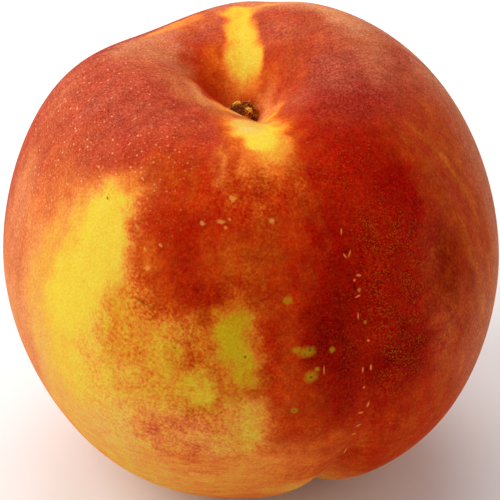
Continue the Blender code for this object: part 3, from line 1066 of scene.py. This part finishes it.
@dataclass(frozen=True)
class SkinFinish:
    """Colours and grain of the velvety skin.

    Noises and dots on the surface count their features per metre, and streaks and rings have
    coordinates of their own. Where a pair gives a strength, it is a base and a gain.
    """

    stops: tuple[tuple[float, Colour], ...] = (
        (0.00, (0.88, 0.64, 0.055)),
        (0.12, (0.89, 0.56, 0.042)),
        (0.22, (0.90, 0.44, 0.036)),
        (0.34, (0.90, 0.30, 0.032)),
        (0.46, (0.83, 0.165, 0.016)),
        (0.58, (0.64, 0.080, 0.005)),
        (0.68, (0.55, 0.036, 0.002)),
        (0.80, (0.47, 0.009, 0.0004)),
        (0.90, (0.40, 0.001, 0.0002)),
        (1.00, (0.20, 0.001, 0.0002)),
    )
    green_tint: Colour = (0.64, 0.58, 0.05)
    # the fuzz's pale haze, partly painted sheen
    bloom_and_sheen_colour: Colour = (0.75, 0.45, 0.26)
    lenticel_colour: Colour = (0.97, 0.46, 0.22)
    fleck_colour: Colour = (0.40, 0.15, 0.006)
    mark_colours: tuple[tuple[Kind, Colour, float], ...] = (
        (Kind.SPOT, (0.48, 0.22, 0.006), 0.78),
        (Kind.DOT, (0.84, 0.36, 0.07), 0.52),
        (Kind.SCAB, (0.92, 0.24, 0.05), 0.85),
        (Kind.PIT, (0.14, 0.004, 0.002), 0.85),
        (Kind.CORE, (0.12, 0.08, 0.008), 0.85),
    )
    mark_edge: tuple[float, float] = (1.30, 0.35)
    mark_fray: float = 0.22
    coarse: Noise = Noise(420.0, 3.0)
    depth: Noise = Noise(380.0, 4.0, 0.75)
    fine: Noise = Noise(2100.0, 3.0, 0.6)
    grain: Noise = Noise(3000.0, 2.0, 0.7)
    streak: Noise = Noise(15.0, 4.0, 0.6)
    ring: Noise = Noise(28.0, 3.0, 0.6)
    dusting: Dots = Dots(5200.0, (0.62, 0.25), (0.45, 0.75))
    bright_flecks: Dots = Dots(1800.0, (0.30, 0.12), (0.6, 0.9))
    lenticels: Dots = Dots(1120.0, (0.25, 0.08), (0.05, 0.75))
    faint_lenticels: Dots = Dots(2200.0, (0.28, 0.10), (0.3, 0.8))
    faint_share: float = 0.7
    lenticel_strength: float = 0.7
    # how far a noise shifts the blush: everywhere, and the gain with its field
    coarse_shift: tuple[float, float] = (0.03, 0.10)
    fine_shift: tuple[float, float] = (0.03, 0.17)
    streak_shift: tuple[float, float] = (0.01, 0.13)
    ring_shift: float = 0.13
    # how far streaks thicken the fuzz's pale haze and painted sheen, and grain thins it
    bloom_and_sheen_streak: float = 0.35
    bloom_and_sheen_grain: float = 0.8
    # how far slow noise and streaks lighten or darken the blushed skin
    light_depth: float = 0.26
    light_streak: float = 0.12
    light_blush: tuple[float, float] = (0.20, 0.80)
    # dark speckle: its contrast gains on the maroon, and its strength with the blush
    speckle_tint: Colour = (0.68, 0.58, 0.52)
    speckle_mean: float = 0.42
    speckle_contrast: tuple[float, float] = (0.60, 1.3)
    speckle_blush: tuple[float, float] = (0.74, 0.88)
    speckle_strength: tuple[float, float] = (0.4, 0.6)
    # flecks, which gather with the coarse noise
    fleck_strength: tuple[float, float] = (0.42, 0.6)
    # the fuzz, a bump of two noises
    fuzz_distance: float = 0.00012
    fuzz_strength: float = 0.6
    fuzz_fine: float = 0.3
    fuzz_grain: float = 0.2
    roughness: float = 0.62
    specular: float = 0.012
    sheen: float = 0.012
    sheen_roughness: float = 0.25
    sheen_tint: Colour = (1.0, 0.62, 0.42)

    def marks(self, graph: Graph, kind: Kind, fray: Value) -> Value:
        """Cover of all small marks of one kind: the highest of their ovals, with frayed edges.

        Args:
            graph: The shader.
            kind: The kind of mark.
            fray: How far each edge is shifted, as a part of the mark's size.

        Returns:
            The cover, 1 in the middle of each mark.
        """
        place = graph.vector_field("chart")
        cover: Value | None = None
        for mark in SMALL_MARKS[kind]:
            fitted = graph.node("ShaderNodeMapping", {"vector_type": "TEXTURE"}, {
                "Vector": place,
                "Location": chart(Places(mark.polar, mark.azimuth)).tolist(),
                "Rotation": (0.0, 0.0, math.radians(mark.turn)),
                "Scale": (mark.across, mark.down, 1.0),
            }).outputs[0]
            away = graph.value("ShaderNodeVectorMath", {"operation": "LENGTH"}, {0: fitted}, "Value")
            oval = (away + fray).eased(*self.mark_edge)
            cover = oval if cover is None else oval.highest(cover)
        return cover

    def blushed(self, graph: Graph, blush: Value, coarse: Value, fine: Value,
                streak: Value) -> bpy.types.NodeSocket:
        """Colour of the blush, made uneven by four noises, with the green laid over it.

        Args:
            graph: The shader.
            blush: The painted blush.
            coarse: Slow unevenness, strongest on the mottled skin.
            fine: Small unevenness, strongest on the mottled skin.
            streak: Streaks down the meridians.

        Returns:
            The colour.
        """
        mottle = graph.number_field("mottle")
        ring = graph.noise(graph.vector_field("rings"), self.ring)
        uneven = (blush + coarse * mottle.scaled(*self.coarse_shift)
                  + fine * mottle.scaled(*self.fine_shift)
                  + streak * graph.number_field("streaky").scaled(*self.streak_shift)
                  + ring * graph.number_field("low") * self.ring_shift)
        ramp = graph.node("ShaderNodeValToRGB", {"stops": self.stops}, {"Fac": uneven})
        return graph.mix(graph.number_field("green"), ramp.outputs["Color"], self.green_tint, "MULTIPLY")

    def dotted(self, graph: Graph, colour: Paint, coarse: Value) -> bpy.types.NodeSocket:
        """Lay the dark side's flecks and the pale lenticels on a colour, by their densities.

        Args:
            graph: The shader.
            colour: The colour below.
            coarse: Slow unevenness, which gathers the flecks.

        Returns:
            The colour.
        """
        place, density = graph.place(), graph.number_field("lenticels")
        flecks = graph.dots(place, self.dusting).highest(graph.dots(place, self.bright_flecks))
        flecks = flecks * graph.number_field("flecks") * coarse.scaled(*self.fleck_strength)
        flecked = graph.mix(flecks, colour, self.fleck_colour)
        full = graph.dots(place, self.lenticels) * density
        faint = graph.dots(place, self.faint_lenticels) * density * self.faint_share
        return graph.mix(full.highest(faint) * self.lenticel_strength, flecked, self.lenticel_colour)

    def material(self) -> bpy.types.Material:
        """Build the shader.

        The uneven blush gets its green, then the fuzz's pale haze with painted sheen, thinned by the grain,
        broad random lighter and darker tone, a dark speckle, the flecks and lenticels, and the small marks
        on top.

        Returns:
            The material.
        """
        graph = Graph(Slot.SKIN.value)
        place, blush = graph.place(), graph.number_field("blush")
        noises = (self.coarse, self.fine, self.grain, self.depth)
        coarse, fine, grain, depth = (graph.noise(place, noise) for noise in noises)
        streak = graph.noise(graph.vector_field("streaks"), self.streak)
        colour = self.blushed(graph, blush, coarse, fine, streak)
        # the fuzz's pale haze, partly painted sheen, thinned by the grain
        thickness = streak * self.bloom_and_sheen_streak - grain * self.bloom_and_sheen_grain + 1.0
        bloom_and_sheen = (graph.number_field("bloom_and_sheen") * thickness).clamped()
        colour = graph.mix(bloom_and_sheen, colour, self.bloom_and_sheen_colour)
        light = depth * self.light_depth + streak * self.light_streak
        colour = graph.mix(1.0, colour, 1.0 + light * blush.eased(*self.light_blush), "MULTIPLY")
        contrast = blush.eased(*self.speckle_blush).scaled(*self.speckle_contrast)
        speckle = (grain * contrast + self.speckle_mean).clamped() * blush.scaled(*self.speckle_strength)
        colour = graph.mix(speckle, colour, self.speckle_tint, "MULTIPLY")
        colour = self.dotted(graph, colour, coarse)
        for kind, tint, strength in self.mark_colours:
            cover = self.marks(graph, kind, fine * self.mark_fray)
            colour = graph.mix(cover * strength, colour, tint)
        fuzz = fine * self.fuzz_fine + grain * self.fuzz_grain
        return graph.finish({
            "Base Color": colour,
            "Roughness": self.roughness,
            "Specular IOR Level": self.specular,
            "Sheen Weight": self.sheen,
            "Sheen Roughness": self.sheen_roughness,
            "Sheen Tint": self.sheen_tint,
            "Normal": graph.bump(fuzz, self.fuzz_distance, self.fuzz_strength),
        })


@dataclass(frozen=True)
class FruitSkin:
    """The fruit's visible skin, which replaces the faceted solid.

    Each pair of angles is where a strength of the rings starts and where it is full.
    """

    form: FruitForm = field(default_factory=FruitForm)
    brush: Brush = field(default_factory=Brush)
    finish: SkinFinish = field(default_factory=SkinFinish)
    grid: Grid = Grid(rows=250, columns=390, row_crowding=0.38, column_crowding=0.42, crowd_azimuth=24.0)
    streak_length: float = 420.0
    ring_spacing: float = 40.0
    ring_round: float = 0.35
    ring_top: tuple[float, float] = (95.0, 115.0)
    ring_bottom: tuple[float, float] = (155.0, 125.0)
    ring_right: tuple[float, float] = (5.0, -15.0)
    ring_left: tuple[float, float] = (-170.0, -110.0)
    ring_elsewhere: float = 0.3

    def centre(self) -> np.ndarray:
        """The fruit's centre: the skin's box is laid on the solid's box.

        Returns:
            The x, y and z of the centre.
        """
        points = self.form.skin(self.grid.places())
        low, high = (np.array(corner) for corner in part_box("fruit"))
        middle = (low + high) / 2.0 - (points.min(axis=0) + points.max(axis=0)) / 2.0
        return np.array([middle[0], middle[1], low[2] + self.form.foot_depth])

    def low(self, at: Places) -> np.ndarray:
        """Strength of the rings across the lower side, fullest on the left of the front.

        Args:
            at: Places on the surface.

        Returns:
            The strength of each place.
        """
        side = turned(at.azimuth)
        left = eased(side, *self.ring_right) * eased(side, *self.ring_left)
        left = left * eased(at.polar, *self.ring_bottom)
        return eased(at.polar, *self.ring_top) * (self.ring_elsewhere + (1.0 - self.ring_elsewhere) * left)

    def build(self) -> bpy.types.Object:
        """Make the skin with its fields, and dress it.

        The coordinates of the streaks and of the rings go round with the azimuth on a circle and
        along with the polar angle, so that streaks are long and rings are wide.

        Returns:
            The finished piece.
        """
        at = self.grid.places()
        piece = make_object("peach_skin", self.form.skin(at) + self.centre(), self.grid.faces())
        x, y = at.circle
        fields = self.brush.painted(at)
        fields["chart"] = chart(at)
        fields["low"] = self.low(at)
        fields["streaks"] = np.stack([x, y, at.polar / self.streak_length], axis=-1)
        rings = [self.ring_round * x, self.ring_round * y, at.polar / self.ring_spacing]
        fields["rings"] = np.stack(rings, axis=-1)
        for name, values in fields.items():
            add_field(piece, name, values)
        piece.data.materials.append(self.finish.material())
        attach(piece, "root")
        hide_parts("fruit")
        return piece


# ---------------------------------------------------------------- the stem scar


@dataclass(frozen=True)
class Knob:
    """A lump of the wood: where it is, how wide in degrees, how high in metres, and how much painted golden
    highlight it takes.
    """

    azimuth: float
    polar: float
    spread: float
    height: float
    gold_highlight: float = 0.0


@dataclass(frozen=True)
class WoodFinish:
    """Colours of the dry, dark wood, browner on its higher bits and golden on its knobs: painted shade low
    in the relief and painted highlights on the knobs.
    """

    # dark is the wood in painted shade low in the relief, brown its higher bits, and the golden colour a
    # painted highlight
    dark: Colour = (0.14, 0.022, 0.002)
    brown: Colour = (0.50, 0.150, 0.010)
    gold_highlight: Colour = (0.85, 0.42, 0.05)
    flake: Noise = Noise(1800.0, 3.0, 0.6)
    brown_flake: float = 0.7
    brown_rise: tuple[float, float] = (-0.1, 0.9)
    gold_highlight_flake: float = 0.35
    gold_highlight_rise: tuple[float, float] = (0.30, 0.75)
    flake_distance: float = 0.00012
    flake_strength: float = 0.7
    roughness: float = 0.6
    specular: float = 0.05

    def material(self) -> bpy.types.Material:
        """Build the shader: two browns by noise and by height, the dark one as painted shade low in the
        relief, and golden painted highlights on the marked knobs.

        Returns:
            The material.
        """
        graph = Graph(Slot.WOOD.value)
        flake = graph.noise(graph.place(), self.flake)
        # painted shade low in the relief, and painted golden highlights on the knobs
        brownness_and_relief_shade = (graph.number_field("relief_shading") + flake * self.brown_flake).eased(*self.brown_rise)
        gold_highlight_cover = (graph.number_field("gold_highlight") + flake * self.gold_highlight_flake).eased(*self.gold_highlight_rise)
        return graph.finish({
            "Base Color": graph.mix(gold_highlight_cover, graph.mix(brownness_and_relief_shade, self.dark, self.brown), self.gold_highlight),
            "Roughness": self.roughness,
            "Specular IOR Level": self.specular,
            "Normal": graph.bump(flake, self.flake_distance, self.flake_strength),
        })


@dataclass(frozen=True)
class StemScar:
    """The woody plug left by the stalk, a knobbly dome, which replaces the plain one."""

    radius: float = 0.00222
    rise: float = 0.0025
    root: float = 0.0012
    power: float = 2.8
    crumple: float = 0.00011
    crumple_waves: float = 11.0
    crumple_shade: float = 0.4
    full_knob: float = 0.0003
    # the last number of each knob is its painted golden highlight
    knobs: tuple[Knob, ...] = (
        Knob(-118, 24, 9, 0.00034, 1.0),
        Knob(-150, 17, 8, 0.00030, 0.9),
        Knob(52, 30, 12, 0.00042, 1.0),
        Knob(-95, 52, 11, 0.00030, 0.75),
        Knob(-80, 62, 9, 0.00026, 0.6),
        Knob(-170, 50, 12, 0.00030, 0.30),
        Knob(150, 46, 10, 0.00030, 0.45),
        Knob(105, 50, 11, 0.00026, 0.30),
        Knob(70, 62, 10, 0.00020),
        Knob(20, 58, 12, 0.00034, 0.1),
        Knob(-22, 50, 12, 0.00030, 0.2),
        Knob(-55, 58, 11, 0.00026, 0.15),
        Knob(0, 20, 9, -0.00022),
        Knob(-178, 36, 9, -0.00040),
        Knob(85, 28, 9, -0.00026),
        Knob(-50, 28, 12, -0.00020),
    )
    finish: WoodFinish = field(default_factory=WoodFinish)
    grid: Grid = Grid(rows=90, columns=140)

    def relief(self, at: Places) -> tuple[np.ndarray, np.ndarray]:
        """Sum the knobs, each h * exp(-(1 - cos d) / (1 - cos spread)).

        Args:
            at: Places on the surface.

        Returns:
            The height of the relief in metres, and how much painted golden highlight each place takes.
        """
        height, gold_highlight = np.zeros(at.polar.shape), np.zeros(at.polar.shape)
        for knob in self.knobs:
            lump = Swell(knob.azimuth, knob.polar, knob.spread, 1.0).rise(at)
            height += knob.height * lump
            gold_highlight = np.maximum(gold_highlight, knob.gold_highlight * lump)
        return height, gold_highlight

    def build(self) -> bpy.types.Object:
        """Make the plug on the solid's place and dress it.

        Its radius is (|sin / radius|^p + |cos / height|^p)^(-1/p), plus the knobs and a crumple.

        Returns:
            The finished piece.
        """
        at = self.grid.places()
        height, gold_highlight = self.relief(at)
        half_height = np.where(at.up > 0.0, self.rise, self.root)
        rounded = (at.across / self.radius) ** self.power + (np.abs(at.up) / half_height) ** self.power
        crumple = wobble(at.outwards, self.crumple_waves, seed=8)
        radius = rounded ** (-1.0 / self.power) + height + self.crumple * crumple
        low, high = (np.array(corner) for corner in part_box("stem_scar"))
        middle = (low + high) / 2.0
        centre = np.array([middle[0], middle[1], low[2] + self.root])
        points = centre + radius[:, None] * at.outwards
        piece = make_object("stem_scar_wood", points, self.grid.faces())
        # relief_shading: painted shade, darker low in the relief and browner on its higher bits
        add_field(piece, "relief_shading", height / self.full_knob + crumple * self.crumple_shade)
        # gold_highlight: painted highlights on the knobs
        add_field(piece, "gold_highlight", gold_highlight)
        piece.data.materials.append(self.finish.material())
        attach(piece, "root")
        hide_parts("stem_scar")
        return piece


# ---------------------------------------------------------------- the studio


@dataclass(frozen=True)
class Lamp:
    """A square area light that faces the fruit, placed by its angles and distance."""

    name: str
    azimuth: float
    elevation: float
    distance: float
    size: float
    power: float
    colour: Colour = (1.0, 1.0, 1.0)


@dataclass(frozen=True)
class Studio:
    """Pale floor, soft light from above and behind, and a long lens from the front."""

    elevation: float = 35.3
    distance: float = 0.6
    frame_width: float = 0.0747
    aim_offset: tuple[float, float] = (-0.00015, 0.00008)   # to the right and up, in the frame
    sensor: float = 36.0
    clip_range: tuple[float, float] = (0.05, 40.0)          # parts of the distance
    floor_size: float = 6.0
    floor_colour: Colour = (0.90, 0.90, 0.90)
    floor_roughness: float = 0.9
    sky: Colour = (1.0, 1.0, 1.0)
    sky_strength: float = 0.47
    lamps: tuple[Lamp, ...] = (
        Lamp("key_light", -82, 45, 0.9, 0.8, 5.7),
        Lamp("back_light", -178, 60, 0.9, 0.6, 3.8),
    )

    def floor(self) -> bpy.types.Object:
        """Make the floor as one square of plain matte material.

        Returns:
            The floor.
        """
        half = self.floor_size / 2.0
        corners = np.array([(-half, -half, 0.0), (half, -half, 0.0), (half, half, 0.0), (-half, half, 0.0)])
        ground = make_object("floor", corners, [(0, 1, 2, 3)])
        finish = {"Base Color": self.floor_colour, "Roughness": self.floor_roughness}
        ground.data.materials.append(Graph("studio_floor").finish(finish))
        return ground

    def light(self, centre: np.ndarray) -> None:
        """Set the even world light and add the lamps round the fruit.

        Args:
            centre: The fruit's centre.
        """
        world = bpy.data.worlds.new("studio")
        world.use_nodes = True
        shade = world.node_tree.nodes["Background"]
        shade.inputs["Color"].default_value = (*self.sky, 1.0)
        shade.inputs["Strength"].default_value = self.sky_strength
        bpy.context.scene.world = world
        for lamp in self.lamps:
            data = bpy.data.lights.new(lamp.name, "AREA")
            data.energy, data.size, data.color = lamp.power, lamp.size, lamp.colour
            thing = bpy.data.objects.new(lamp.name, data)
            polar = 90.0 - lamp.elevation
            thing.location = centre + lamp.distance * Places(polar, lamp.azimuth).outwards
            thing.rotation_euler = (math.radians(polar), 0.0, math.radians(lamp.azimuth))
            bpy.context.scene.collection.objects.link(thing)

    def camera(self, centre: np.ndarray) -> bpy.types.Object:
        """Aim a long lens at the fruit so that the frame is frame_width wide there.

        Args:
            centre: The fruit's centre.

        Returns:
            The scene's camera.
        """
        data = bpy.data.cameras.new("camera")
        data.sensor_width = self.sensor
        data.lens = self.sensor * self.distance / self.frame_width
        data.clip_start, data.clip_end = (self.distance * part for part in self.clip_range)
        tilt = math.radians(self.elevation)
        right, up = self.aim_offset
        aim = centre + np.array([right, up * math.sin(tilt), up * math.cos(tilt)])
        camera = bpy.data.objects.new("camera", data)
        camera.location = aim + self.distance * np.array([0.0, -math.cos(tilt), math.sin(tilt)])
        camera.rotation_euler = (math.radians(90.0) - tilt, 0.0, 0.0)
        bpy.context.scene.collection.objects.link(camera)
        bpy.context.scene.camera = camera
        return camera

    def build(self, centre: np.ndarray) -> None:
        """Set up the floor, the light, the camera and a plain colour transform.

        Args:
            centre: The fruit's centre.
        """
        self.floor()
        self.light(centre)
        self.camera(centre)
        bpy.context.scene.view_settings.view_transform = "Standard"


def main() -> None:
    """Build each piece in order."""
    logging.basicConfig(level=logging.INFO, format="%(name)s: %(message)s")
    fruit = FruitSkin()
    for part in (fruit, StemScar()):
        piece = part.build()
        log.info("%s has %d vertices", piece.name, len(piece.data.vertices))
    Studio().build(fruit.centre())


if __name__ == "__main__":
    main()
